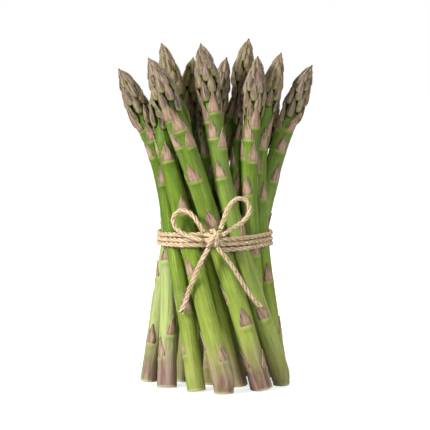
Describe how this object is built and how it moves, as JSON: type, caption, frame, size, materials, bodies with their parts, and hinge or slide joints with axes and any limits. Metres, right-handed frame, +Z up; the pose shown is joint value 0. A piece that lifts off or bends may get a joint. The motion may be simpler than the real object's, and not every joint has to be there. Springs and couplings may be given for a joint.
{
  "type": "bundle of asparagus",
  "caption": "Tied bundle of fresh green asparagus spears standing on their cut ends, held at the waist by wrapped jute twine finished in a two-loop bow with free tails.",
  "frame": {"origin": "centre of the bounding box's footprint, on the plane the cut ends stand on", "axes": "+Z up along the bundle, from the cut ends to the heads; -Y towards the side with the bow; +X to the right of someone facing the bow"},
  "size_m": [0.1238, 0.0898, 0.2201],
  "materials": {
    "asparagus_skin": "smooth waxy green skin with purple-brown scale leaves",
    "jute_twine": "matt, hairy, laid from three strands"
  },
  "bodies": {
    "root": {"spear_left_outer": "asparagus_skin", "spear_front_left": "asparagus_skin", "spear_front_middle": "asparagus_skin", "spear_front_right": "asparagus_skin", "spear_left_short": "asparagus_skin", "spear_left_back": "asparagus_skin", "spear_second_row": "asparagus_skin", "spear_right_blunt": "asparagus_skin", "spear_right_upright": "asparagus_skin", "spear_right_outer": "asparagus_skin", "spear_tallest": "asparagus_skin", "spear_back_middle": "asparagus_skin", "spear_inner_left": "asparagus_skin", "spear_inner_right": "asparagus_skin", "spear_back_left": "asparagus_skin", "spear_back_centre": "asparagus_skin", "spear_back_right": "asparagus_skin", "spear_back_outer": "asparagus_skin", "twine_wraps": "jute_twine", "twine_knot": "jute_twine", "bow_loop_left": "jute_twine", "bow_loop_right": "jute_twine", "twine_tail_left": "jute_twine", "twine_tail_right": "jute_twine"}
  },
  "joints": []
}
